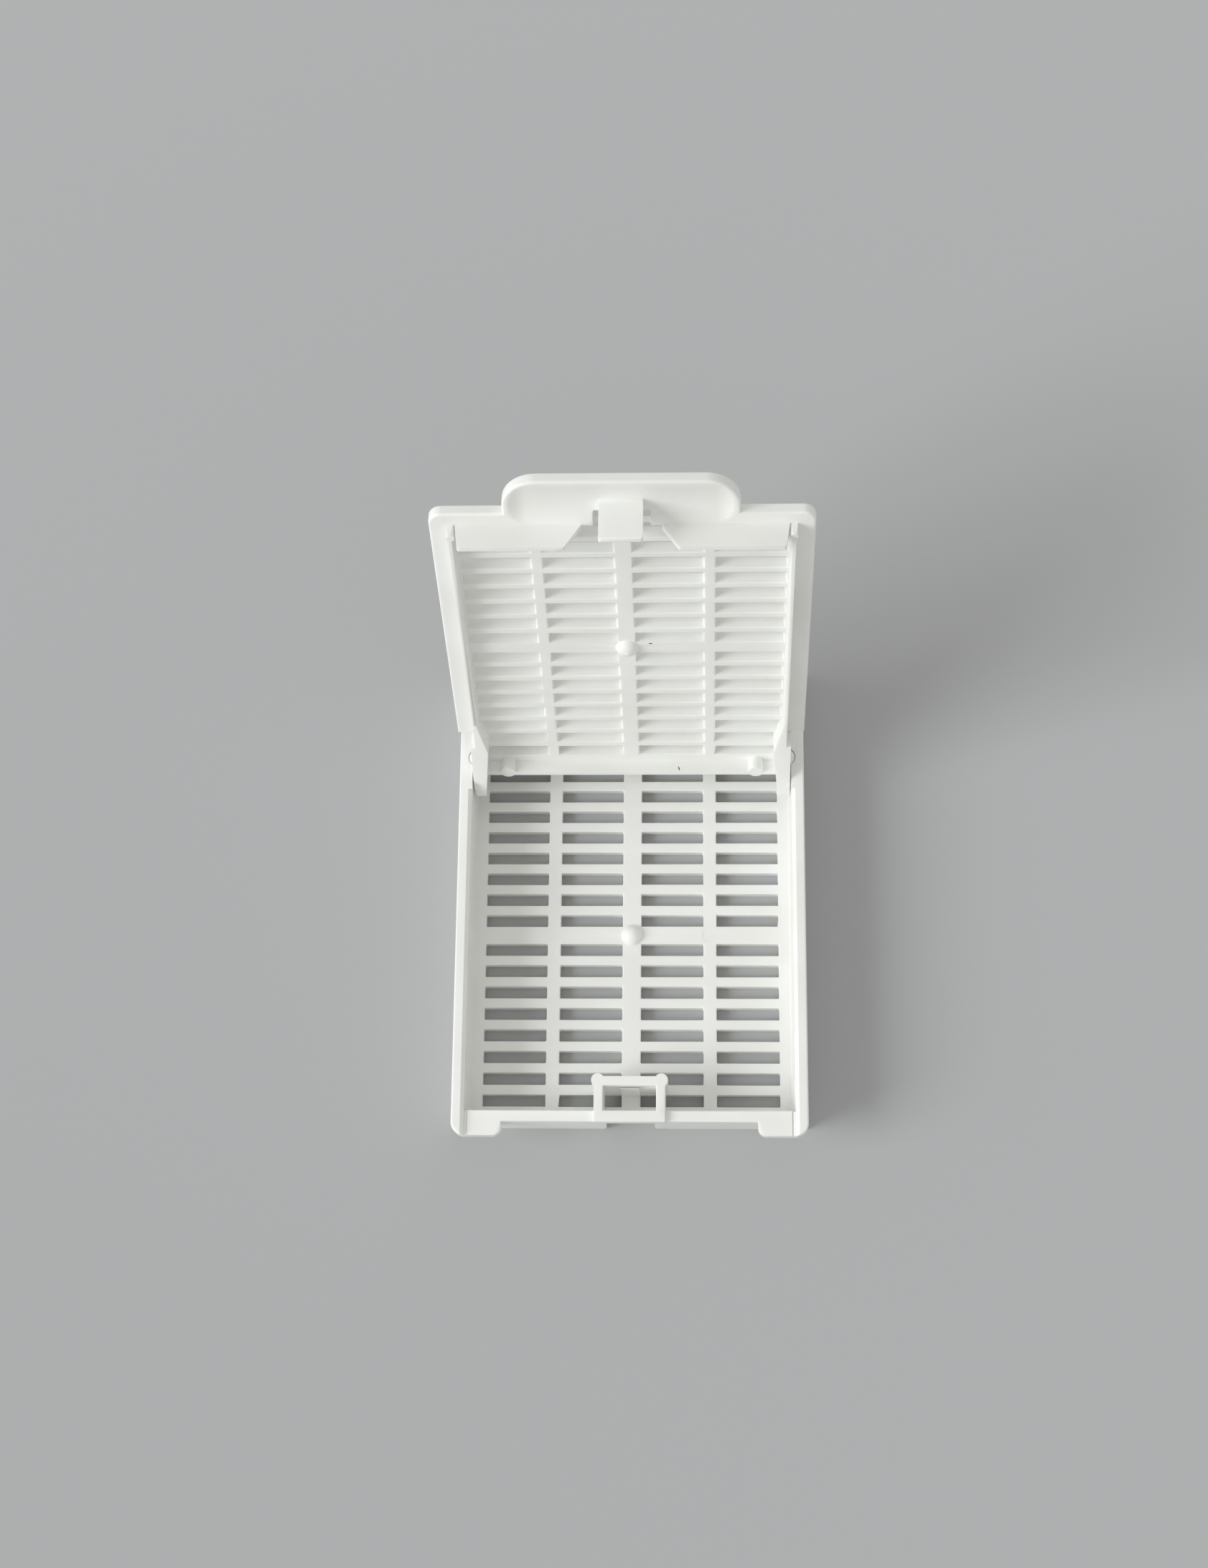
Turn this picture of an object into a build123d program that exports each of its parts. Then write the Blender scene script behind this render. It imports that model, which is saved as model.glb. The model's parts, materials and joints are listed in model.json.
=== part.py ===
"""Tissue cassette: a slotted tray with a writing slope, and a slotted lid that snaps into it.

Both pieces are single mouldings. The lid is drawn in its own plane, which turns about the hinge
line and stands open here. Axes: X across the cassette, +Y towards the hinge and the writing
slope, +Z up. The origin is the centre of the tray's slot pattern, on its underside. Millimetres.
"""
from build123d import *
from math import atan, cos, degrees, hypot, radians, sin, sqrt
import os

# ---- Driving dimensions of the tray
tray_width = 28.5
tray_height = 5.6
floor_thickness = 1.0
near_wall = 0.68
side_wall = 1.01
wall_draft = 0.17
slope_top_run = 3.6
slope_wall = 1.0
rim_step = 0.4
rim_bevel = 0.28
edge_round = 0.15

# Slot pattern, which the floor and the lid share. The margins are the plain floor around it.
slot_side_margin = 0.9
slot_end_margin = 0.8
slot_width = 0.98
slot_pitch = 1.797
rows_each_side = 8
middle_cross_bar = 1.48
middle_long_bar = 1.54
side_long_bar = 1.08

# Slits through the side walls, one at each cross bar
slit_length = 0.8
slit_height = 0.45
slit_drop = 0.85

# Ledge and corner tabs at the latch end
ledge_overhang = 0.15
ledge_thickness = 1.1
corner_tab_reach = 1.25
corner_tab_width = 3.98
corner_tab_outer_round = 1.0
corner_tab_inner_round = 0.65

# Pocket that takes the lid's latch
pocket_width = 5.7
pocket_side_wall = 0.72
pocket_far_wall = 0.76
pocket_post_diameter = 1.06
pocket_post_inset = 0.31
pocket_rib_depth = 0.12
latch_bar = 0.93
latch_bar_overhang = 0.22
latch_bar_thickness = 0.9
latch_gap_width = 3.94
latch_gap_corner = 0.4

# Marks left by the mould in the middle of both slot patterns
bump_diameter = 1.8
bump_height = 0.65
mark_diameter = 1.2
mark_depth = 0.02

# Hinge
pivot_inset = 0.2
pivot_drop = 0.3
lid_rise = 71.4
hinge_wall = 1.05
dome_radius = 0.75
dome_sunk = 0.3
dome_clearance = 0.05
hinge_pad_run = 2.7
hinge_pad_rear_run = 2.1
arm_notch_width = 1.6
arm_notch_clearance = 0.1
lid_stop_gap = 0.03

# ---- Driving dimensions of the lid; u is measured along it from the hinge line
lid_thickness = 1.0
lid_seat_gap = 0.03
lid_side_inset = 0.04
lid_neck_inset = 1.4
lid_neck_u = 3.18
lid_end_overhang = 0.21
lid_corner = 1.0
lid_edge_round = 0.2
lid_rear_radius = 1.45
lid_slot_shift = 0.38
lid_slot_flare = 0.12
finger_tab_width = 17.4
finger_tab_length = 3.42
finger_tab_corner = 2.6
finger_dish_depth = 0.3
finger_dish_border = 0.45
finger_dish_end_round = 3.0
rear_rib_u = -0.8
rear_rib_height = 1.2
rear_boss_diameter = 1.2
rear_boss_inset = 2.55

# Ribs and flaps on the lid's inner face, which drop inside the tray's walls
skirt_clearance = 0.2
skirt_width = 0.5
skirt_height = 1.05
skirt_draft = 0.12
flap_clearance = 0.24
flap_thickness = 0.7
flap_tip_thickness = 0.4
flap_height = 2.2
flap_side_inset = 0.57
flap_outer_slant = 0.3
flap_pocket_clearance = 0.1
flap_inner_slant = 1.25
flap_round = 0.2
corner_post_diameter = 0.6
corner_post_height = 1.1

# Hinge arms, whose tails point into the tray
arm_clearance = 0.1
arm_root_u = 5.6
arm_shoulder_u = 2.6
arm_shoulder_width = 1.4
arm_tip_width = 0.68
arm_tip_round = 0.2
arm_tip_inset = 0.28
arm_waist_radius = 0.9
arm_tail_u = -2.0
arm_tail_height = 1.95
arm_tail_radius = 0.4

# Latch hook, and the hole in the lid under its barb
hook_width = 3.22
hook_clearance = 0.09
hook_root = 1.2
hook_tip = 0.55
hook_length = 2.95
hook_catch_drop = 0.12
hook_barb_clearance = 0.03
hook_barb_taper = 0.1
hook_round = 0.25
latch_hole_margin = 0.5
latch_hole_length = 1.5

# ---- Values that follow from the ones above
half_width = tray_width / 2
rim_inner_x = half_width - side_wall
wall_foot_x = rim_inner_x - wall_draft
wall_height = tray_height - floor_thickness
wall_angle = degrees(atan(wall_draft / wall_height))
ledge_z = tray_height - rim_step
cross_bar = slot_pitch - slot_width
bank_span = rows_each_side * slot_pitch - cross_bar
bank_centre = middle_cross_bar / 2 + bank_span / 2
pattern_end = middle_cross_bar / 2 + bank_span
pattern_side = wall_foot_x - slot_side_margin
slot_length = (pattern_side - middle_long_bar / 2 - side_long_bar) / 2
near_foot_y = -(pattern_end + slot_end_margin)
near_inner_y = near_foot_y - wall_draft
near_wall_y = near_inner_y - near_wall
corner_tab_y = near_wall_y - corner_tab_reach
pivot_y = pattern_end - pivot_inset
hinge_pad_start_y = pivot_y - hinge_pad_run
slope_top_y = pivot_y + slope_top_run
slope_foot_y = slope_top_y + tray_height
side_bar_x = middle_long_bar / 2 + slot_length + side_long_bar / 2
column_offset = (slot_length + side_long_bar) / 2
pocket_far_y = -(pattern_end - slot_width - cross_bar)
pocket_inner_far_y = pocket_far_y - pocket_far_wall
bar_outer_y = near_wall_y - latch_bar_overhang
bar_inner_y = bar_outer_y + latch_bar
bar_under_z = tray_height - latch_bar_thickness
post_x = pocket_width / 2 - pocket_post_inset
post_y = pocket_far_y - pocket_post_inset
pivot_z = tray_height - pivot_drop
hinge_wall_x = half_width - hinge_wall
arm_outer_x = hinge_wall_x - arm_clearance
dome_x = arm_outer_x - dome_sunk
inner_n = -(pivot_drop + lid_seat_gap)
outer_n = inner_n - lid_thickness
rib_tip_n = inner_n + rear_rib_height
lid_width = tray_width - 2 * lid_side_inset
lid_neck_width = tray_width - 2 * lid_neck_inset
plate_join_u = lid_neck_u + lid_edge_round
lid_end_u = pivot_y - near_wall_y + lid_end_overhang
finger_tab_end_u = lid_end_u + finger_tab_length
rear_boss_x = lid_neck_width / 2 - rear_boss_inset
skirt_outer_x = wall_foot_x - skirt_clearance
flap_outer_u = pivot_y - near_inner_y - flap_clearance
flap_outer_x = skirt_outer_x - flap_side_inset
flap_inner_x = pocket_width / 2 + flap_pocket_clearance
stop_rise = (pivot_drop - outer_n * cos(radians(lid_rise))) / sin(radians(lid_rise))
stop_run = stop_rise * cos(radians(lid_rise)) - outer_n * sin(radians(lid_rise))
far_wall_y = pivot_y + stop_run + lid_stop_gap
far_foot_y = far_wall_y - wall_draft
notch_far_y = pivot_y - arm_tail_u + arm_tail_radius + arm_notch_clearance
lid_slot_centre_u = pivot_y + lid_slot_shift
lid_slot_taper = degrees(atan(lid_slot_flare / lid_thickness))
bump_ball = (bump_diameter**2 / 4 + bump_height**2) / (2 * bump_height)
flap_tip_n = inner_n + flap_height
latch_hole_width = hook_width + 2 * latch_hole_margin
hook_inner_u = pivot_y - bar_outer_y + hook_clearance
hook_tip_n = inner_n + hook_length
hook_catch_n = pivot_z - bar_under_z + hook_catch_drop
bar_reach = hypot(pivot_y - bar_outer_y, pivot_z - bar_under_z)
hook_catch_u = sqrt((bar_reach + hook_barb_clearance) ** 2 - hook_catch_n**2)

# Planes of the lid. lid_plane holds (x, u) and faces out of the lid's inner side, and
# lid_section holds (u, n), where n is the height above the hinge line.
lid_along = Vector(0, cos(radians(lid_rise)), sin(radians(lid_rise)))
lid_up = Vector(0, -sin(radians(lid_rise)), cos(radians(lid_rise)))
hinge_point = Vector(0, pivot_y, pivot_z)
lid_plane = Plane(origin=hinge_point, x_dir=(1, 0, 0), z_dir=lid_up)
lid_section = Plane(origin=hinge_point, x_dir=lid_along, z_dir=(1, 0, 0))


def lid_crosswise(u):
    """Plane square to the lid at u, holding (x, n) and facing the hinge."""
    return Plane(origin=hinge_point + lid_along * u, x_dir=(1, 0, 0), z_dir=lid_along * -1)


# ---- The tray
with BuildPart() as base:
    # outline from the side, with the writing slope at 45 degrees
    with BuildSketch(Plane.YZ):
        with BuildLine():
            Polyline(
                (near_wall_y, 0),
                (slope_foot_y, 0),
                (slope_top_y, tray_height),
                (near_wall_y, tray_height),
                close=True,
            )
        make_face()
    extrude(amount=half_width, both=True)

    # ledge and corner tabs at the latch end
    with BuildSketch(Plane.XY.offset(ledge_z - ledge_thickness)):
        with Locations((0, near_wall_y - ledge_overhang)):
            Rectangle(tray_width, near_wall + ledge_overhang, align=(Align.CENTER, Align.MIN))
        for side in (-1, 1):
            with Locations((side * (half_width - corner_tab_width / 2), corner_tab_y)):
                Rectangle(
                    corner_tab_width,
                    near_inner_y - corner_tab_y,
                    align=(Align.CENTER, Align.MIN),
                )
    extrude(amount=ledge_thickness + rim_step)
    tab_corners = base.edges().filter_by(Axis.Z).group_by(Axis.Y)[0].sort_by(Axis.X)
    fillet([tab_corners[0], tab_corners[-1]], corner_tab_outer_round)
    fillet(base.edges().filter_by(Axis.Z).group_by(Axis.Y)[0], corner_tab_inner_round)

    # the ledge and the tabs lie a step below the rims
    with BuildSketch(Plane.XY.offset(ledge_z)):
        with Locations((0, corner_tab_y)):
            Rectangle(2 * rim_inner_x, near_inner_y - corner_tab_y, align=(Align.CENTER, Align.MIN))
    extrude(amount=rim_step, mode=Mode.SUBTRACT)

    # the chamber, with draft on its walls
    with BuildSketch(Plane.XY.offset(floor_thickness)):
        with Locations((0, near_foot_y)):
            Rectangle(2 * wall_foot_x, far_foot_y - near_foot_y, align=(Align.CENTER, Align.MIN))
    extrude(amount=wall_height, taper=-wall_angle, mode=Mode.SUBTRACT)

    # bevel along the inner edge of both rims
    with BuildSketch(Plane.XZ.offset(-corner_tab_y)):
        for side in (-1, 1):
            with BuildLine():
                Polyline(
                    (side * (rim_inner_x - rim_bevel), tray_height),
                    (side * (rim_inner_x + rim_bevel), tray_height),
                    (side * (rim_inner_x - rim_bevel), tray_height - 2 * rim_bevel),
                    close=True,
                )
            make_face()
    extrude(amount=-(hinge_pad_start_y - corner_tab_y), mode=Mode.SUBTRACT)

    # pads that the lid's domes turn in, and notches for the tails of its arms
    with BuildSketch(Plane.XY.offset(floor_thickness / 2)):
        for side in (-1, 1):
            with Locations((side * (hinge_wall_x + side_wall / 4), hinge_pad_start_y)):
                Rectangle(
                    side_wall / 2,
                    hinge_pad_run + hinge_pad_rear_run,
                    align=(Align.CENTER, Align.MIN),
                )
    extrude(amount=tray_height - floor_thickness / 2)
    with BuildSketch(Plane.XY.offset(floor_thickness)):
        for side in (-1, 1):
            with Locations((side * (hinge_wall_x - arm_notch_width / 2), far_foot_y)):
                Rectangle(
                    arm_notch_width,
                    notch_far_y - far_foot_y,
                    align=(Align.CENTER, Align.MIN),
                )
    extrude(amount=tray_height, mode=Mode.SUBTRACT)
    with Locations((dome_x, pivot_y, pivot_z), (-dome_x, pivot_y, pivot_z)):
        Sphere(dome_radius + dome_clearance, mode=Mode.SUBTRACT)

    # the hollow under the writing slope
    hollow_y = notch_far_y + slope_wall
    hollow_end_y = slope_foot_y - slope_wall * sqrt(2)
    with BuildSketch(Plane.YZ):
        with BuildLine():
            Polyline(
                (hollow_y, 0),
                (hollow_end_y, 0),
                (hollow_y, hollow_end_y - hollow_y),
                close=True,
            )
        make_face()
    extrude(amount=rim_inner_x, both=True, mode=Mode.SUBTRACT)

    # walls and posts of the latch pocket
    with BuildSketch():
        with Locations((0, near_wall_y)):
            Rectangle(pocket_width, pocket_far_y - near_wall_y, align=(Align.CENTER, Align.MIN))
        with Locations((post_x, post_y), (-post_x, post_y)):
            Circle(pocket_post_diameter / 2)
    extrude(amount=tray_height)
    with BuildSketch(Plane.XY.offset(floor_thickness)):
        with Locations((0, bar_inner_y)):
            Rectangle(
                pocket_width - 2 * pocket_side_wall,
                pocket_inner_far_y - bar_inner_y,
                align=(Align.CENTER, Align.MIN),
            )
    extrude(amount=wall_height, mode=Mode.SUBTRACT)
    with BuildSketch(Plane.XY.offset(floor_thickness / 2)):
        with Locations((0, pocket_inner_far_y - pocket_rib_depth)):
            Rectangle(middle_long_bar, 2 * pocket_rib_depth, align=(Align.CENTER, Align.MIN))
    extrude(amount=bar_under_z - floor_thickness / 2)

    # the bar that the lid's hook catches, over a gap that is open to the underside
    with BuildSketch(Plane.XY.offset(bar_under_z)):
        with Locations((0, bar_outer_y)):
            Rectangle(pocket_width, latch_bar, align=(Align.CENTER, Align.MIN))
    extrude(amount=latch_bar_thickness)
    with BuildSketch(Plane.XZ.offset(-bar_inner_y)):
        Rectangle(latch_gap_width, bar_under_z, align=(Align.CENTER, Align.MIN))
        with Locations((latch_gap_width / 2, 0), (-latch_gap_width / 2, 0)):
            Rectangle(2 * latch_gap_corner, 2 * latch_gap_corner)
        with Locations(
            (latch_gap_width / 2 + latch_gap_corner, latch_gap_corner),
            (-latch_gap_width / 2 - latch_gap_corner, latch_gap_corner),
        ):
            Circle(latch_gap_corner, mode=Mode.SUBTRACT)
    extrude(amount=latch_bar, mode=Mode.SUBTRACT)

    # slots through the floor, in two banks either side of the middle cross bar
    with BuildSketch():
        with GridLocations(2 * side_bar_x, 2 * bank_centre, 2, 2):
            with GridLocations(2 * column_offset, slot_pitch, 2, rows_each_side):
                Rectangle(slot_length, slot_width)
    extrude(amount=floor_thickness, mode=Mode.SUBTRACT)

    # slits through the side walls
    slit_z = tray_height - slit_drop - slit_height / 2
    with BuildSketch(Plane.YZ):
        with Locations((0, slit_z)):
            Rectangle(slit_length, slit_height)
        with Locations((bank_centre, slit_z), (-bank_centre, slit_z)):
            with GridLocations(slot_pitch, 1, rows_each_side - 1, 1):
                Rectangle(slit_length, slit_height)
    extrude(amount=half_width, both=True, mode=Mode.SUBTRACT)

    # two shallow marks and a bump in the middle of the floor
    with BuildSketch(Plane.XY.offset(floor_thickness - mark_depth)):
        with Locations((side_bar_x, 0), (-side_bar_x, 0)):
            Circle(mark_diameter / 2)
    extrude(amount=mark_depth, mode=Mode.SUBTRACT)
    with Locations((0, 0, floor_thickness + bump_height - bump_ball)):
        Sphere(bump_ball, arc_size1=0, align=(Align.CENTER, Align.CENTER, Align.MIN))

    # soften the outer edges of the rims and of the writing slope's top
    rim_edges = base.edges().filter_by(Axis.Y).group_by(Axis.Z)[-1].sort_by(Axis.X)
    slope_edge = base.edges().filter_by(Axis.X).group_by(Axis.Z)[-1].sort_by(Axis.Y)[-1]
    fillet([rim_edges[0], rim_edges[-1], slope_edge], edge_round)

base.part.label = "base"

# ---- One hinge arm, on the +X side
with BuildPart() as arm:
    # side view: from the lid over the hinge line and out along the tail
    with BuildSketch(lid_section):
        with BuildLine():
            arm_root = [
                (0, outer_n / 2),
                (arm_root_u, outer_n / 2),
                (arm_root_u, inner_n + skirt_height),
            ]
            Polyline(arm_root)
            CenterArc((0, 0), arm_waist_radius, 0, 360)
            CenterArc((arm_tail_u, arm_tail_height), arm_tail_radius, 0, 360)
        make_hull()
    extrude(amount=arm_outer_x)

    # face view: the arm grows out of the skirt and narrows towards the end of its tail
    arm_end_u = arm_tail_u - arm_tail_radius
    arm_tip_x = arm_outer_x - arm_tip_inset
    with BuildSketch(lid_plane.offset(outer_n)) as arm_face:
        with BuildLine():
            Polyline(
                (skirt_outer_x - skirt_draft, arm_root_u),
                (skirt_outer_x - skirt_draft, lid_neck_u),
                (arm_outer_x, lid_neck_u),
                (arm_outer_x, -arm_waist_radius),
                (arm_tip_x, arm_end_u),
                (arm_tip_x - arm_tip_width, arm_end_u),
                (arm_outer_x - arm_shoulder_width, arm_shoulder_u),
                (skirt_outer_x - skirt_width + skirt_draft, arm_root_u),
                close=True,
            )
        make_face()
        fillet(arm_face.vertices().group_by(Axis.Y)[0], arm_tip_round)
    extrude(amount=-outer_n + arm_tail_height + arm_tail_radius, mode=Mode.INTERSECT)
    with Locations(Plane(origin=(dome_x, pivot_y, pivot_z), z_dir=(1, 0, 0))):
        Sphere(dome_radius, arc_size1=0, align=(Align.CENTER, Align.CENTER, Align.MIN))

# ---- The lid's flange, which lies over the rims, and its finger tab
with BuildPart() as flange:
    with BuildSketch(lid_plane.offset(outer_n)) as lid_outline:
        with Locations((0, lid_neck_u)):
            Rectangle(lid_width, lid_end_u - lid_neck_u, align=(Align.CENTER, Align.MIN))
        with Locations((0, lid_end_u - lid_corner)):
            Rectangle(
                finger_tab_width,
                finger_tab_end_u - lid_end_u + lid_corner,
                align=(Align.CENTER, Align.MIN),
            )
        sides = lid_outline.vertices().group_by(Axis.X)
        fillet([sides[0].sort_by(Axis.Y)[-1], sides[-1].sort_by(Axis.Y)[-1]], lid_corner)
        fillet(lid_outline.vertices().group_by(Axis.Y)[-1], finger_tab_corner)
    extrude(amount=lid_thickness)
    flange_levels = flange.edges().group_by(Axis(hinge_point, lid_up))
    fillet(flange_levels[0] + flange_levels[-1], lid_edge_round)

# ---- What the dish takes off the finger tab: a roller across the lid with rounded ends
with BuildPart() as dish:
    dish_half = (finger_tab_end_u - finger_dish_border - flap_outer_u) / 2
    dish_radius = (dish_half**2 + finger_dish_depth**2) / (2 * finger_dish_depth)
    dish_end_round = min(finger_dish_end_round, 0.9 * dish_radius)
    dish_end_run = sqrt(2 * dish_end_round * finger_dish_depth - finger_dish_depth**2)
    dish_end_x = finger_tab_width / 2 - finger_dish_border - dish_end_run
    with BuildSketch(lid_section):
        with Locations((flap_outer_u + dish_half, inner_n + dish_radius - finger_dish_depth)):
            Circle(dish_radius)
    extrude(amount=dish_end_x + dish_end_round, both=True)
    fillet(dish.edges().filter_by(GeomType.CIRCLE), dish_end_round)

# ---- The flaps on either side of the hook, which drop inside the tray's near wall
with BuildPart() as flaps:
    # front view
    with BuildSketch(lid_crosswise(flap_outer_u)) as flap_outline:
        for side in (-1, 1):
            with BuildLine():
                Polyline(
                    (side * flap_inner_x, inner_n),
                    (side * (flap_inner_x + flap_inner_slant), flap_tip_n),
                    (side * (flap_outer_x - flap_outer_slant), flap_tip_n),
                    (side * flap_outer_x, inner_n),
                    close=True,
                )
            make_face()
        fillet(flap_outline.vertices().group_by(Axis.Y)[-1], flap_round)
    extrude(amount=flap_thickness)

    # side view: the inner face leans back towards the tip
    with BuildSketch(lid_section):
        with BuildLine():
            Polyline(
                (flap_outer_u, inner_n),
                (flap_outer_u, flap_tip_n),
                (flap_outer_u - flap_tip_thickness, flap_tip_n),
                (flap_outer_u - flap_thickness, inner_n),
                close=True,
            )
        make_face()
    extrude(amount=flap_outer_x, both=True, mode=Mode.INTERSECT)

# ---- The latch hook
with BuildPart() as hook:
    # side view, with the barb that catches the bar
    with BuildSketch(lid_section) as hook_side:
        with BuildLine():
            Polyline(
                (hook_inner_u, outer_n / 2),
                (hook_inner_u, hook_catch_n),
                (hook_catch_u, hook_catch_n),
                (hook_catch_u + hook_barb_taper, hook_tip_n),
                (hook_inner_u + hook_tip, hook_tip_n),
                (hook_inner_u + hook_root, inner_n),
                (hook_inner_u + hook_root, outer_n / 2),
                close=True,
            )
        make_face()
        fillet(hook_side.vertices().group_by(Axis.Y)[-1], hook_round)
    extrude(amount=hook_width / 2, both=True)

    # front view, with rounded corners at the tip
    with BuildSketch(lid_crosswise(hook_inner_u + hook_root)) as hook_front:
        with Locations((0, outer_n / 2)):
            Rectangle(hook_width, hook_tip_n - outer_n / 2, align=(Align.CENTER, Align.MIN))
        fillet(hook_front.vertices().group_by(Axis.Y)[-1], hook_round)
    extrude(amount=hook_root + latch_hole_length, mode=Mode.INTERSECT)

# ---- The lid
with BuildPart() as lid:
    # rear of the plate and its stiffening rib, rounded about the hinge line
    with BuildSketch(lid_section):
        with BuildLine():
            rear_outer = (-sqrt(lid_rear_radius**2 - outer_n**2), outer_n)
            rear_tip = (-sqrt(lid_rear_radius**2 - rib_tip_n**2), rib_tip_n)
            ThreePointArc(rear_outer, (-lid_rear_radius, 0), rear_tip)
            Polyline(
                rear_tip,
                (rear_rib_u, rib_tip_n),
                (rear_rib_u, inner_n),
                (plate_join_u, inner_n),
                (plate_join_u, outer_n),
                rear_outer,
            )
        make_face()
    extrude(amount=lid_neck_width / 2, both=True)

    # flange over the rims, with the finger tab
    add(flange.part)

    # dish in the finger tab
    add(dish.part, mode=Mode.SUBTRACT)

    # slots in the same pattern as the floor's, flared towards the inner face
    with BuildSketch(lid_plane.offset(inner_n)):
        with Locations((0, lid_slot_centre_u)):
            with GridLocations(2 * side_bar_x, 2 * bank_centre, 2, 2):
                with GridLocations(2 * column_offset, slot_pitch, 2, rows_each_side):
                    Rectangle(slot_length + 2 * lid_slot_flare, slot_width + 2 * lid_slot_flare)
    extrude(amount=-lid_thickness, taper=lid_slot_taper, mode=Mode.SUBTRACT)

    # bump and two discs in the middle of the slots
    with BuildSketch(lid_plane.offset(outer_n)):
        with Locations((side_bar_x, lid_slot_centre_u), (-side_bar_x, lid_slot_centre_u)):
            Circle(mark_diameter / 2)
    extrude(amount=lid_thickness - mark_depth)
    with Locations(lid_plane.offset(inner_n + bump_height - bump_ball)):
        with Locations((0, lid_slot_centre_u)):
            Sphere(bump_ball, arc_size1=0, align=(Align.CENTER, Align.CENTER, Align.MIN))

    # bosses on the rear rib
    with BuildSketch(lid_plane.offset(inner_n)):
        with Locations((rear_boss_x, rear_rib_u), (-rear_boss_x, rear_rib_u)):
            Circle(rear_boss_diameter / 2)
    extrude(amount=rear_rib_height)

    # skirts along the sides
    skirt_tip_n = inner_n + skirt_height
    with BuildSketch(lid_crosswise(flap_outer_u)):
        for side in (-1, 1):
            with BuildLine():
                Polyline(
                    (side * skirt_outer_x, inner_n),
                    (side * (skirt_outer_x - skirt_draft), skirt_tip_n),
                    (side * (skirt_outer_x - skirt_width + skirt_draft), skirt_tip_n),
                    (side * (skirt_outer_x - skirt_width), inner_n),
                    close=True,
                )
            make_face()
    extrude(amount=flap_outer_u - lid_neck_u)

    # posts at the skirts' ends
    post_x_lid = skirt_outer_x - corner_post_diameter / 2
    post_u = flap_outer_u - corner_post_diameter / 2
    with BuildSketch(lid_plane.offset(inner_n)):
        with Locations((post_x_lid, post_u), (-post_x_lid, post_u)):
            Circle(corner_post_diameter / 2)
    extrude(amount=corner_post_height)

    # hole under the hook's barb
    with BuildSketch(lid_plane.offset(outer_n)):
        with Locations((0, hook_inner_u - latch_hole_length)):
            Rectangle(latch_hole_width, latch_hole_length, align=(Align.CENTER, Align.MIN))
    extrude(amount=lid_thickness, mode=Mode.SUBTRACT)

    # the flaps, the hook and both arms
    add(flaps.part)
    add(hook.part)
    add(arm.part)
    mirror(arm.part, about=Plane.YZ)

lid.part.label = "lid"

os.makedirs("parts", exist_ok=True)
for piece in (base.part, lid.part):
    export_step(piece, f"parts/{piece.label}.step")
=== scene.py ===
"""Looks of the tissue cassette: a slotted tray and its hinged lid in natural white acetal.

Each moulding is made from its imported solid. Its crisp edges are rounded as a mould rounds them,
each with as large a radius as the detail around it leaves room for. Both mouldings are dressed
in moulded acetal and stand on a pale floor under a soft, window-like lamp.
"""
import json
import logging
import math
from collections.abc import Iterable
from dataclasses import dataclass, field
from enum import Enum

import bmesh
import bpy
from mathutils import Matrix, Vector
from mathutils.bvhtree import BVHTree
from mathutils.kdtree import KDTree


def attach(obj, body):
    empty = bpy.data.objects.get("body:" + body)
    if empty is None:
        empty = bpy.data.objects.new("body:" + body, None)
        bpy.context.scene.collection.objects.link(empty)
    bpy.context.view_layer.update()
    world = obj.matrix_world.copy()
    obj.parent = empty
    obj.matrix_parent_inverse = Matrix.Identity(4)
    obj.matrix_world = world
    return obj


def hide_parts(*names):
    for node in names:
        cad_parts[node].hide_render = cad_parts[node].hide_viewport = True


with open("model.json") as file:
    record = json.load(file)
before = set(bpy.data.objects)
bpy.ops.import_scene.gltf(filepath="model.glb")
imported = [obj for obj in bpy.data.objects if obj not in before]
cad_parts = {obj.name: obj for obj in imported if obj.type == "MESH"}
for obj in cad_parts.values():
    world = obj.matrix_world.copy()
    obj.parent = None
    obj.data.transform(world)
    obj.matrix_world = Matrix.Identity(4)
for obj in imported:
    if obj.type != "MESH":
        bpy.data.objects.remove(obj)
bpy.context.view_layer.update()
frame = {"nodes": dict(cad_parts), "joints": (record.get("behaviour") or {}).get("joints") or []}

LOG = logging.getLogger("tissue_cassette")
MM = 0.001  # metres


# ---- Small tools -------------------------------------------------------------------------------


def linear(hex_colour: str) -> tuple[float, float, float, float]:
    """Turns an sRGB hex colour to linear light.

    Args:
        hex_colour: Six hex digits, such as "F1F0EA".

    Returns:
        Red, green, blue and an alpha of 1.
    """
    channels = [int(hex_colour[i : i + 2], 16) / 255 for i in (0, 2, 4)]
    red, green, blue = (
        c / 12.92 if c <= 0.04045 else ((c + 0.055) / 1.055) ** 2.4 for c in channels
    )
    return red, green, blue, 1.0


def per_mm(size_mm: float) -> float:
    """Texture scale whose features are about size_mm wide, for coordinates in metres."""
    return 1.0 / (size_mm * MM)


def add_node(
    tree: bpy.types.NodeTree,
    kind: str,
    inputs: dict[str | int, object] | None = None,
    **settings: object,
) -> bpy.types.Node:
    """Adds one node with its settings, values and links.

    Args:
        tree: The shader or geometry node tree to add to.
        kind: The node's type name.
        inputs: Socket name or number to an output socket to link, or a value to set.
        **settings: Properties of the node itself.

    Returns:
        The new node.
    """
    node = tree.nodes.new(kind)
    for name, value in settings.items():
        setattr(node, name, value)
    for key, value in (inputs or {}).items():
        if isinstance(value, bpy.types.NodeSocket):
            tree.links.new(value, node.inputs[key])
        else:
            node.inputs[key].default_value = value
    return node


# ---- Finishes ----------------------------------------------------------------------------------


class Operation(str, Enum):
    """Operations of the math nodes that are used here."""

    SUBTRACT = "SUBTRACT"
    DIVIDE = "DIVIDE"
    LENGTH = "LENGTH"
    MAXIMUM = "MAXIMUM"
    LESS_THAN = "LESS_THAN"


@dataclass(frozen=True)
class Span:
    """A range of values."""

    low: float
    high: float


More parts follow.
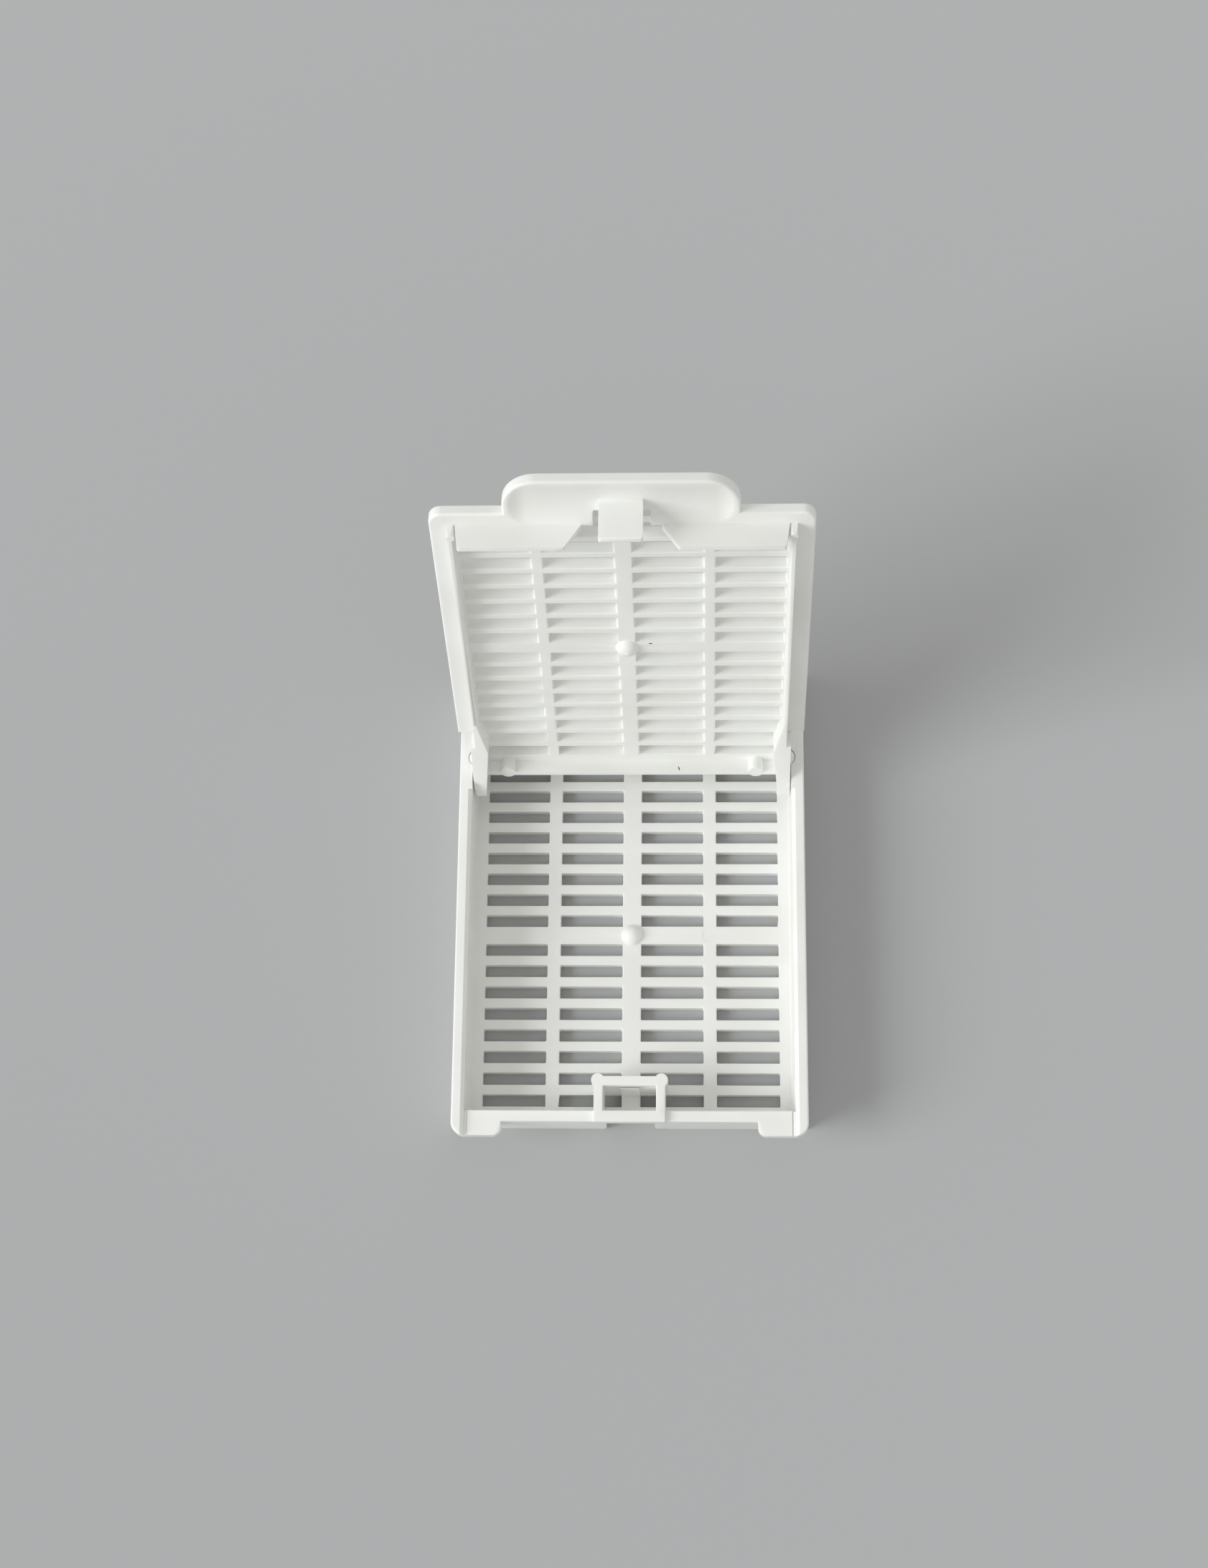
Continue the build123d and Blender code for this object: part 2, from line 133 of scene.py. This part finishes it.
@dataclass(frozen=True)
class Speck:
    """A scorched speck in the moulding.

    Its middle and its size along X, Y and Z are in metres, and it leans about Y. It fades from
    full at the inner share of its size to nothing at the outer share.
    """

    middle: Vector
    size: Vector
    lean: float = 0.0
    inner: float = 0.6
    outer: float = 1.3


@dataclass(frozen=True)
class MouldedAcetal:
    """Natural white acetal copolymer, injection moulded in a finely spark-eroded tool.

    To the eye it is a soft, slightly translucent milk white with a satin sheen: broad dull
    highlights on the rounded edges, and faint flow clouds in the flat areas.
    """

    name: str
    white_hex: str = "F4F5F2"
    cloud_hex: str = "EFEFEB"
    speck_hex: str = "4A443B"
    ior: float = 1.48
    roughness: Span = Span(0.38, 0.52)
    depth_mm: float = 0.6
    depth_by_colour: tuple[float, float, float] = (1.0, 0.95, 0.85)
    translucency: float = 0.2
    cloud_mm: float = 7.0
    cloud_noise: Span = Span(0.35, 0.65)
    patch_mm: float = 1.6
    patch_noise: Span = Span(0.3, 0.7)
    grain_mm: float = 0.16  # real spark erosion is finer, 0.02 mm, and would not show
    grain_height_mm: float = 0.0022
    specks: tuple[Speck, ...] = ()

    def material(self) -> bpy.types.Material:
        """Builds the material.

        Returns:
            A node material that reads Object coordinates only.
        """
        material = bpy.data.materials.new(self.name)
        material.use_nodes = True
        tree = material.node_tree
        tree.nodes.clear()
        place = add_node(tree, "ShaderNodeTexCoord").outputs["Object"]
        colour = self._colour(tree, place)
        rough = self._roughness(tree, place)
        shader = add_node(
            tree,
            "ShaderNodeBsdfPrincipled",
            {
                "Base Color": colour,
                "Roughness": rough,
                "IOR": self.ior,
                "Subsurface Weight": self.translucency,
                "Subsurface Radius": self.depth_by_colour,
                "Subsurface Scale": self.depth_mm * MM,
                "Normal": self._grain(tree, place),
            },
        )
        add_node(tree, "ShaderNodeOutputMaterial", {"Surface": shader.outputs["BSDF"]})
        return material

    def _colour(
        self, tree: bpy.types.NodeTree, place: bpy.types.NodeSocket
    ) -> bpy.types.NodeSocket:
        """Milk white with faint flow clouds and the dark specks.

        Args:
            tree: The material's node tree.
            place: Object coordinates.

        Returns:
            The colour socket.
        """
        clouds = add_node(
            tree,
            "ShaderNodeTexNoise",
            {"Vector": place, "Scale": per_mm(self.cloud_mm), "Detail": 2.0},
        )
        tone = add_node(
            tree,
            "ShaderNodeMapRange",
            {
                "Value": clouds.outputs["Fac"],
                "From Min": self.cloud_noise.low,
                "From Max": self.cloud_noise.high,
            },
        )
        colour = add_node(
            tree,
            "ShaderNodeMix",
            {
                "Factor": tone.outputs["Result"],
                "A": linear(self.white_hex),
                "B": linear(self.cloud_hex),
            },
            data_type="RGBA",
        ).outputs["Result"]
        for speck in self.specks:
            colour = self._with_speck(tree, place, colour, speck)
        return colour

    def _with_speck(
        self,
        tree: bpy.types.NodeTree,
        place: bpy.types.NodeSocket,
        colour: bpy.types.NodeSocket,
        speck: Speck,
    ) -> bpy.types.NodeSocket:
        """Darkens the colour inside one speck.

        Args:
            tree: The material's node tree.
            place: Object coordinates.
            colour: The colour so far.
            speck: The speck to add.

        Returns:
            The colour with the speck in it.
        """
        offset = add_node(
            tree,
            "ShaderNodeVectorMath",
            {0: place, 1: speck.middle},
            operation=Operation.SUBTRACT.value,
        ).outputs["Vector"]
        upright = add_node(
            tree,
            "ShaderNodeVectorRotate",
            {"Vector": offset, "Angle": -speck.lean},
            rotation_type="Y_AXIS",
        ).outputs["Vector"]
        scaled = add_node(
            tree,
            "ShaderNodeVectorMath",
            {0: upright, 1: speck.size / 2},
            operation=Operation.DIVIDE.value,
        ).outputs["Vector"]
        away = add_node(
            tree, "ShaderNodeVectorMath", {0: scaled}, operation=Operation.LENGTH.value
        ).outputs["Value"]
        inside = add_node(
            tree,
            "ShaderNodeMapRange",
            {"Value": away, "From Min": speck.outer, "From Max": speck.inner},
        ).outputs["Result"]
        return add_node(
            tree,
            "ShaderNodeMix",
            {"Factor": inside, "A": colour, "B": linear(self.speck_hex)},
            data_type="RGBA",
        ).outputs["Result"]

    def _roughness(
        self, tree: bpy.types.NodeTree, place: bpy.types.NodeSocket
    ) -> bpy.types.NodeSocket:
        """Satin that varies a little in patches.

        Args:
            tree: The material's node tree.
            place: Object coordinates.

        Returns:
            The roughness socket.
        """
        patches = add_node(
            tree,
            "ShaderNodeTexNoise",
            {"Vector": place, "Scale": per_mm(self.patch_mm), "Detail": 3.0},
        )
        return add_node(
            tree,
            "ShaderNodeMapRange",
            {
                "Value": patches.outputs["Fac"],
                "From Min": self.patch_noise.low,
                "From Max": self.patch_noise.high,
                "To Min": self.roughness.low,
                "To Max": self.roughness.high,
            },
        ).outputs["Result"]

    def _grain(
        self, tree: bpy.types.NodeTree, place: bpy.types.NodeSocket
    ) -> bpy.types.NodeSocket:
        """Fine tool grain.

        Args:
            tree: The material's node tree.
            place: Object coordinates.

        Returns:
            The normal socket.
        """
        grain = add_node(
            tree,
            "ShaderNodeTexNoise",
            {"Vector": place, "Scale": per_mm(self.grain_mm), "Detail": 2.0},
        )
        return add_node(
            tree,
            "ShaderNodeBump",
            {"Height": grain.outputs["Fac"], "Distance": self.grain_height_mm * MM},
        ).outputs["Normal"]


@dataclass(frozen=True)
class StudioPaper:
    """Plain pale paper for the floor: matt, with no pattern."""

    name: str = "pale_paper"
    colour_hex: str = "C4C5C6"

    def material(self) -> bpy.types.Material:
        """Builds the floor's material.

        Returns:
            A matt material.
        """
        material = bpy.data.materials.new(self.name)
        material.use_nodes = True
        tree = material.node_tree
        tree.nodes.clear()
        shader = add_node(
            tree,
            "ShaderNodeBsdfDiffuse",
            {"Color": linear(self.colour_hex), "Roughness": 1.0},
        )
        add_node(tree, "ShaderNodeOutputMaterial", {"Surface": shader.outputs["BSDF"]})
        return material


# ---- Mouldings ---------------------------------------------------------------------------------


@dataclass(frozen=True)
class LidFrame:
    """Where the lid lies while it stands open.

    u runs along it from the hinge line and n out of its inner face, both in mm.
    """

    hinge: Vector
    rise: float

    @classmethod
    def from_joint(cls, joint: dict[str, object]) -> "LidFrame":
        """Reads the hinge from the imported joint, whose upper limit closes the lid.

        Args:
            joint: The joint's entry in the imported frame.

        Returns:
            The frame of the open lid.
        """
        return cls(Vector(joint["pos_m"]), math.pi - math.radians(joint["range_deg"][1]))

    def point(self, x: float, u: float, n: float) -> Vector:
        """Finds a point of the lid.

        Args:
            x: Distance to the right of the cassette's middle, in mm.
            u: Distance from the hinge line along the lid, in mm.
            n: Height over the hinge line out of the lid's inner face, in mm.

        Returns:
            The point in the shared frame, in metres.
        """
        sine, cosine = math.sin(self.rise), math.cos(self.rise)
        return self.hinge + Vector((x, u * cosine - n * sine, u * sine + n * cosine)) * MM


@dataclass(frozen=True)
class MouldEdges:
    """Rounds a solid's crisp edges, each as far as the detail beside it allows.

    Every edge gets a weight from 0 to 1, its share of the full radius. It starts from the room
    beside the edge. The solid is then bevelled in rounds, and after each one the weights near
    the faults are lowered, and in the later rounds dropped to 0.
    """

    radius: float = 0.1 * MM
    steps: int = 2
    crisp_above: float = math.radians(32)
    flat_within: float = math.radians(1)
    seam: float = 0.001 * MM
    level_within: float = 0.01 * MM
    room_share: float = 0.42
    beside: float = 0.6  # least cosine to the inward direction of what an edge needs room from
    least_weight: float = 0.2
    sample_gap: float = 0.35 * MM
    face_reach: float = 1.5  # in radii, for the solid's faces about a point
    stray_beyond: float = 0.8  # in radii
    cut_depth: float = 0.002 * MM
    ease_reach: float = 1.6  # in radii
    ease_factor: float = 0.6
    rounds: int = 10
    gentle_rounds: int = 4

    def rounded(self, name: str, source: bpy.types.Mesh) -> bpy.types.Mesh:
        """Makes a copy of the mesh with rounded edges.

        Args:
            name: Name of the new mesh.
            source: The solid's triangles.

        Returns:
            The rounded mesh.
        """
        shape = self._whole_faces(source)
        weights = self._weights(shape)
        crisp = bmesh.new()
        crisp.from_mesh(source)
        surface = BVHTree.FromBMesh(crisp)
        crisp.free()
        for turn in range(self.rounds):
            made = self._bevelled(name, shape, weights)
            if not self._ease(shape, weights, self._faults(made, surface), turn):
                break
            bpy.data.meshes.remove(made)
        shape.free()
        LOG.info("%s: edges were rounded in %d rounds", name, turn + 1)
        return made

    def _whole_faces(self, source: bpy.types.Mesh) -> bmesh.types.BMesh:
        """Joins the triangles at their seams and merges the flat ones to whole faces.

        Args:
            source: The solid's triangles.

        Returns:
            The solid with whole faces, which the caller frees.
        """
        shape = bmesh.new()
        shape.from_mesh(source)
        bmesh.ops.remove_doubles(shape, verts=shape.verts[:], dist=self.seam)
        bmesh.ops.dissolve_limit(
            shape,
            angle_limit=self.flat_within,
            use_dissolve_boundaries=False,
            verts=shape.verts[:],
            edges=shape.edges[:],
        )
        shape.edges.index_update()
        shape.edges.ensure_lookup_table()
        return shape

    def _samples(self, edge: bmesh.types.BMEdge) -> list[Vector]:
        """Places points along an edge.

        Args:
            edge: An edge of the solid.

        Returns:
            Points about a radius apart, at least two.
        """
        start, end = (v.co for v in edge.verts)
        count = max(2, math.ceil((end - start).length / self.radius))
        return [start.lerp(end, (i + 0.5) / count) for i in range(count)]

    def _weights(self, shape: bmesh.types.BMesh) -> dict[int, float]:
        """Works out how much of the full radius each crisp edge has room for.

        Args:
            shape: The solid with whole faces.

        Returns:
            Edge number to a weight from 0 to 1.
        """
        crisp = [
            e
            for e in shape.edges
            if e.is_manifold and e.calc_face_angle(0.0) > self.crisp_above
        ]
        points = [(p, e) for e in crisp for p in self._samples(e)]
        near = nearest(p for p, _ in points)
        reach = self.radius / self.room_share
        weights: dict[int, float] = {}
        for edge in crisp:
            touching = {x for v in edge.verts for x in v.link_edges}
            room = reach
            for face in edge.link_faces:
                loop = next(x for x in face.loops if x.edge == edge)
                along = loop.link_loop_next.vert.co - loop.vert.co
                inward = face.normal.cross(along).normalized()
                for p in self._samples(edge):
                    for q, i, gap in near.find_range(p, room):
                        if points[i][1] in touching or gap == 0.0:
                            continue
                        level = abs((q - p).dot(face.normal)) < self.level_within
                        if level and (q - p).dot(inward) > self.beside * gap:
                            room = min(room, gap)
            weights[edge.index] = room / reach
        return weights

    def _bevelled(
        self, name: str, shape: bmesh.types.BMesh, weights: dict[int, float]
    ) -> bpy.types.Mesh:
        """Rounds the edges by their weights.

        Args:
            name: Name of the new mesh.
            shape: The solid with whole faces.
            weights: Edge number to weight.

        Returns:
            The bevelled mesh.
        """
        mesh = bpy.data.meshes.new(f"{name}_crisp")
        shape.to_mesh(mesh)
        values = [0.0] * len(mesh.edges)
        for i, weight in weights.items():
            values[i] = weight if weight > self.least_weight else 0.0
        mesh.attributes.new("bevel_weight_edge", "FLOAT", "EDGE").data.foreach_set(
            "value", values
        )
        blank = bpy.data.objects.new(mesh.name, mesh)
        bpy.context.scene.collection.objects.link(blank)
        bevel = blank.modifiers.new("mould_edges", "BEVEL")
        bevel.width = self.radius
        bevel.segments = self.steps
        bevel.limit_method = "WEIGHT"
        bevel.use_clamp_overlap = False
        made = evaluated_copy(blank, name)
        bpy.data.objects.remove(blank)
        bpy.data.meshes.remove(mesh)
        return made

    def _faults(self, made: bpy.types.Mesh, surface: BVHTree) -> list[Vector]:
        """Finds where the rounding went wrong.

        Args:
            made: The bevelled mesh.
            surface: The crisp solid.

        Returns:
            Middles and corners of triangles that stray from the solid, turn inside out or cut
            each other.
        """
        made.calc_loop_triangles()
        corners = [v.co.copy() for v in made.vertices]
        triangles = [tuple(t.vertices) for t in made.loop_triangles]
        wrong: set[int] = set()
        for i, triangle in enumerate(triangles):
            a, b, c = (corners[v] for v in triangle)
            normal = (b - a).cross(c - a)
            if normal.length < self.seam * self.seam:
                continue
            normal.normalize()
            for p in spread(a, b, c, self.sample_gap):
                around = surface.find_nearest_range(p, self.face_reach * self.radius)
                strays = surface.find_nearest(p)[3] > self.stray_beyond * self.radius
                if strays or max(hit[1].dot(normal) for hit in around) < 0:
                    wrong.add(i)
                    break
        own = BVHTree.FromPolygons(corners, triangles)
        for i, j in own.overlap(own):
            if i < j and not set(triangles[i]) & set(triangles[j]):
                if self._cut(*([corners[v] for v in triangles[k]] for k in (i, j))):
                    wrong |= {i, j}
        return [
            p
            for i in wrong
            for a, b, c in [[corners[v] for v in triangles[i]]]
            for p in (a, b, c, (a + b + c) / 3)
        ]

    def _cut(self, one: list[Vector], other: list[Vector]) -> bool:
        """Tells triangles that cut each other from those that only touch.

        Args:
            one: Corners of a triangle.
            other: Corners of another triangle that meets it.

        Returns:
            Whether each reaches clearly to both sides of the other's plane.
        """
        for (a, b, c), points in ((one, other), (other, one)):
            normal = (b - a).cross(c - a)
            if normal.length < self.seam * self.seam:
                return False
            normal.normalize()
            heights = [(p - a).dot(normal) for p in points]
            if min(heights) > -self.cut_depth or max(heights) < self.cut_depth:
                return False
        return True

    def _ease(
        self,
        shape: bmesh.types.BMesh,
        weights: dict[int, float],
        faults: list[Vector],
        turn: int,
    ) -> bool:
        """Lowers the weights of the edges near the faults.

        The later rounds drop them to 0 and reach ever further from a fault.

        Args:
            shape: The solid with whole faces.
            weights: Edge number to weight, changed in place.
            faults: Where the rounding went wrong.
            turn: Number of the round.

        Returns:
            Whether there were faults and there is another round.
        """
        near = nearest(faults)
        late = max(0, turn - self.gentle_rounds)
        reach = self.ease_reach * self.radius * 2**late
        eased = [
            i
            for i in weights
            if faults
            and weights[i] > self.least_weight
            and any(near.find(p)[2] < reach for p in self._samples(shape.edges[i]))
        ]
        for i in eased:
            weights[i] *= self.ease_factor if turn < self.gentle_rounds else 0.0
        return bool(faults) and turn < self.rounds - 1


def spread(a: Vector, b: Vector, c: Vector, gap: float) -> Iterable[Vector]:
    """Spreads points over a triangle.

    Args:
        a: First corner.
        b: Second corner.
        c: Third corner.
        gap: About how far apart the points are.

    Yields:
        The points, all inside the triangle.
    """
    count = math.ceil(math.sqrt((b - a).cross(c - a).length) / gap)
    for i in range(count):
        for j in range(count - i):
            p, q = (i + 1 / 3) / count, (j + 1 / 3) / count
            yield a + (b - a) * p + (c - a) * q


def nearest(points: Iterable[Vector]) -> KDTree:
    """Makes a search tree.

    Args:
        points: The points to find, which keep their order as numbers.

    Returns:
        The tree, ready for searching.
    """
    kept = list(points)
    tree = KDTree(len(kept))
    for i, point in enumerate(kept):
        tree.insert(point, i)
    tree.balance()
    return tree


def evaluated_copy(obj: bpy.types.Object, name: str) -> bpy.types.Mesh:
    """Makes a plain mesh of an object as its modifiers leave it.

    Args:
        obj: The object, in the scene.
        name: Name of the new mesh.

    Returns:
        The new mesh.
    """
    graph = bpy.context.evaluated_depsgraph_get()
    graph.update()
    mesh = bpy.data.meshes.new_from_object(obj.evaluated_get(graph))
    mesh.name = name
    return mesh


@dataclass(frozen=True)
class FinishingTree:
    """Node tree that shades a moulding's rounds smooth, keeps its creases and dresses it."""

    crease: float = math.radians(40)

    def apply(self, piece: bpy.types.Object, finish: bpy.types.Material) -> None:
        """Runs the tree on a piece and keeps the result as its mesh.

        Args:
            piece: The moulding's object.
            finish: Its material.
        """
        tree = self._tree()
        modifier = piece.modifiers.new("finishing", "NODES")
        modifier.node_group = tree
        values = {"Crease": self.crease, "Finish": finish}
        for item in tree.interface.items_tree:
            if item.name in values:
                modifier[item.identifier] = values[item.name]
        mesh = evaluated_copy(piece, piece.name)
        piece.modifiers.remove(modifier)
        piece.data = mesh

    def _tree(self) -> bpy.types.NodeTree:
        """Builds the node tree with its named inputs.

        Returns:
            The tree.
        """
        tree = bpy.data.node_groups.new("moulding_finish", "GeometryNodeTree")
        face = tree.interface
        face.new_socket("Geometry", in_out="INPUT", socket_type="NodeSocketGeometry")
        face.new_socket("Crease", in_out="INPUT", socket_type="NodeSocketFloat")
        face.new_socket("Finish", in_out="INPUT", socket_type="NodeSocketMaterial")
        face.new_socket("Geometry", in_out="OUTPUT", socket_type="NodeSocketGeometry")
        given = add_node(tree, "NodeGroupInput").outputs
        triangles = add_node(tree, "GeometryNodeTriangulate", {"Mesh": given["Geometry"]})
        angle = add_node(tree, "GeometryNodeInputMeshEdgeAngle").outputs["Unsigned Angle"]
        round_edge = add_node(
            tree,
            "FunctionNodeCompare",
            {0: angle, 1: given["Crease"]},
            operation=Operation.LESS_THAN.value,
        )
        smooth = add_node(
            tree,
            "GeometryNodeSetShadeSmooth",
            {"Geometry": triangles.outputs[0], "Shade Smooth": True},
            domain="FACE",
        )
        creased = add_node(
            tree,
            "GeometryNodeSetShadeSmooth",
            {"Geometry": smooth.outputs[0], "Shade Smooth": round_edge.outputs["Result"]},
            domain="EDGE",
        )
        real = add_node(
            tree, "GeometryNodeRealizeInstances", {"Geometry": creased.outputs[0]}
        )
        dressed = add_node(
            tree,
            "GeometryNodeSetMaterial",
            {"Geometry": real.outputs[0], "Material": given["Finish"]},
        )
        add_node(tree, "NodeGroupOutput", {0: dressed.outputs[0]})
        return tree


@dataclass
class Moulding:
    """One injection-moulded piece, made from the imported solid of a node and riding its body."""

    name: str
    node: str
    body: str
    finish: MouldedAcetal
    edges: MouldEdges = field(default_factory=MouldEdges)

    def build(self) -> bpy.types.Object:
        """Makes the moulding and puts it in its solid's place.

        Returns:
            The moulding's object.
        """
        mesh = self.edges.rounded(self.name, frame["nodes"][self.node].data)
        piece = bpy.data.objects.new(self.name, mesh)
        bpy.context.scene.collection.objects.link(piece)
        FinishingTree().apply(piece, self.finish.material())
        shading = piece.modifiers.new("flat_faces", "WEIGHTED_NORMAL")
        shading.mode = "FACE_AREA"
        shading.keep_sharp = True
        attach(piece, self.body)
        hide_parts(self.node)
        LOG.info("%s stands for %s with %d faces", self.name, self.node, len(piece.data.polygons))
        return piece


# ---- Studio ------------------------------------------------------------------------------------


@dataclass
class Studio:
    """Floor, soft light and world. Lengths are in metres and the lamp's power is in watts."""

    floor_radius: float = 2.0
    floor_sides: int = 96
    paper: StudioPaper = field(default_factory=StudioPaper)
    window_place: tuple[float, float, float] = (-0.56, -0.17, 0.35)
    window_size: float = 0.36
    window_watts: float = 3.15
    window_hex: str = "FBFDFF"
    sky_level: float = 0.6
    sky_hex: str = "FFFEFC"
    backdrop_hex: str = "D8D9D8"

    def build(self) -> None:
        """Makes the floor, the lamp and the world."""
        self._floor()
        self._window()
        self._world()
        bpy.context.scene.view_settings.view_transform = "Standard"
        LOG.info("studio is set")

    def _floor(self) -> None:
        """A round sheet of paper at the height that the tray stands on."""
        ring = [
            (self.floor_radius * math.cos(a), self.floor_radius * math.sin(a), 0.0)
            for a in (2 * math.pi * i / self.floor_sides for i in range(self.floor_sides))
        ]
        mesh = bpy.data.meshes.new("studio_floor")
        mesh.from_pydata(ring, [], [list(range(self.floor_sides))])
        mesh.materials.append(self.paper.material())
        floor = bpy.data.objects.new("studio_floor", mesh)
        bpy.context.scene.collection.objects.link(floor)

    def _window(self) -> None:
        """A soft square lamp to the left and a little in front, like a window."""
        lamp = bpy.data.lights.new("window", "AREA")
        lamp.shape = "SQUARE"
        lamp.size = self.window_size
        lamp.energy = self.window_watts
        lamp.color = linear(self.window_hex)[:3]
        window = bpy.data.objects.new("window", lamp)
        window.location = self.window_place
        window.rotation_mode = "QUATERNION"
        window.rotation_quaternion = (-Vector(self.window_place)).to_track_quat("-Z", "Y")
        bpy.context.scene.collection.objects.link(window)

    def _world(self) -> None:
        """Even light from all round, and the pale backdrop that the camera sees."""
        world = bpy.data.worlds.new("room")
        bpy.context.scene.world = world
        world.use_nodes = True
        tree = world.node_tree
        tree.nodes.clear()
        path = add_node(tree, "ShaderNodeLightPath")
        seen = add_node(
            tree,
            "ShaderNodeMath",
            {0: path.outputs["Is Camera Ray"], 1: path.outputs["Is Glossy Ray"]},
            operation=Operation.MAXIMUM.value,
        )
        light = add_node(
            tree,
            "ShaderNodeBackground",
            {"Color": linear(self.sky_hex), "Strength": self.sky_level},
        )
        backdrop = add_node(
            tree,
            "ShaderNodeBackground",
            {"Color": linear(self.backdrop_hex), "Strength": 1.0},
        )
        both = add_node(
            tree,
            "ShaderNodeMixShader",
            {0: seen.outputs["Value"], 1: light.outputs[0], 2: backdrop.outputs[0]},
        )
        add_node(tree, "ShaderNodeOutputWorld", {"Surface": both.outputs[0]})


@dataclass
class Camera:
    """The view from above the latch end, a little to the right of the cassette's middle."""

    place: tuple[float, float, float] = (0.0057654, -0.0429188, 0.1946044)  # metres
    right: tuple[float, float, float] = (0.99917, 0.00948, -0.03971)
    up: tuple[float, float, float] = (0.00193, 0.96060, 0.27792)
    backward: tuple[float, float, float] = (0.04078, -0.27777, 0.95978)
    film_mm: float = 36.0
    lens_mm: float = 54.64
    clip: Span = Span(0.005, 10.0)

    def build(self) -> None:
        """Makes the camera and gives it to the scene."""
        data = bpy.data.cameras.new("camera")
        data.sensor_fit = "AUTO"
        data.sensor_width = self.film_mm
        data.lens = self.lens_mm
        data.clip_start = self.clip.low
        data.clip_end = self.clip.high
        camera = bpy.data.objects.new("camera", data)
        turn = Matrix((self.right, self.up, self.backward)).transposed()
        camera.rotation_mode = "QUATERNION"
        camera.rotation_quaternion = turn.to_quaternion()
        camera.location = self.place
        bpy.context.scene.collection.objects.link(camera)
        bpy.context.scene.camera = camera


def lid_specks() -> tuple[Speck, Speck]:
    """Makes the lid's two scorched specks: one on a bar of its grid, one at its rear edge.

    Returns:
        The specks.
    """
    lid = LidFrame.from_joint(frame["joints"][0])
    on_bar = Speck(lid.point(1.85, 14.97, -0.33), Vector((0.3, 0.3, 0.13)) * MM)
    at_rear = Speck(
        lid.point(3.93, -0.8, 0.49), Vector((0.1, 0.4, 0.45)) * MM, math.radians(28)
    )
    return on_bar, at_rear


def main() -> None:
    """Builds the scene in order."""
    logging.basicConfig(level=logging.INFO, format="%(name)s: %(message)s")
    Studio().build()
    Camera().build()
    Moulding("tray", "base", "base", MouldedAcetal("tray_acetal")).build()
    Moulding("cover", "lid", "lid", MouldedAcetal("lid_acetal", specks=lid_specks())).build()


if __name__ == "__main__":
    main()
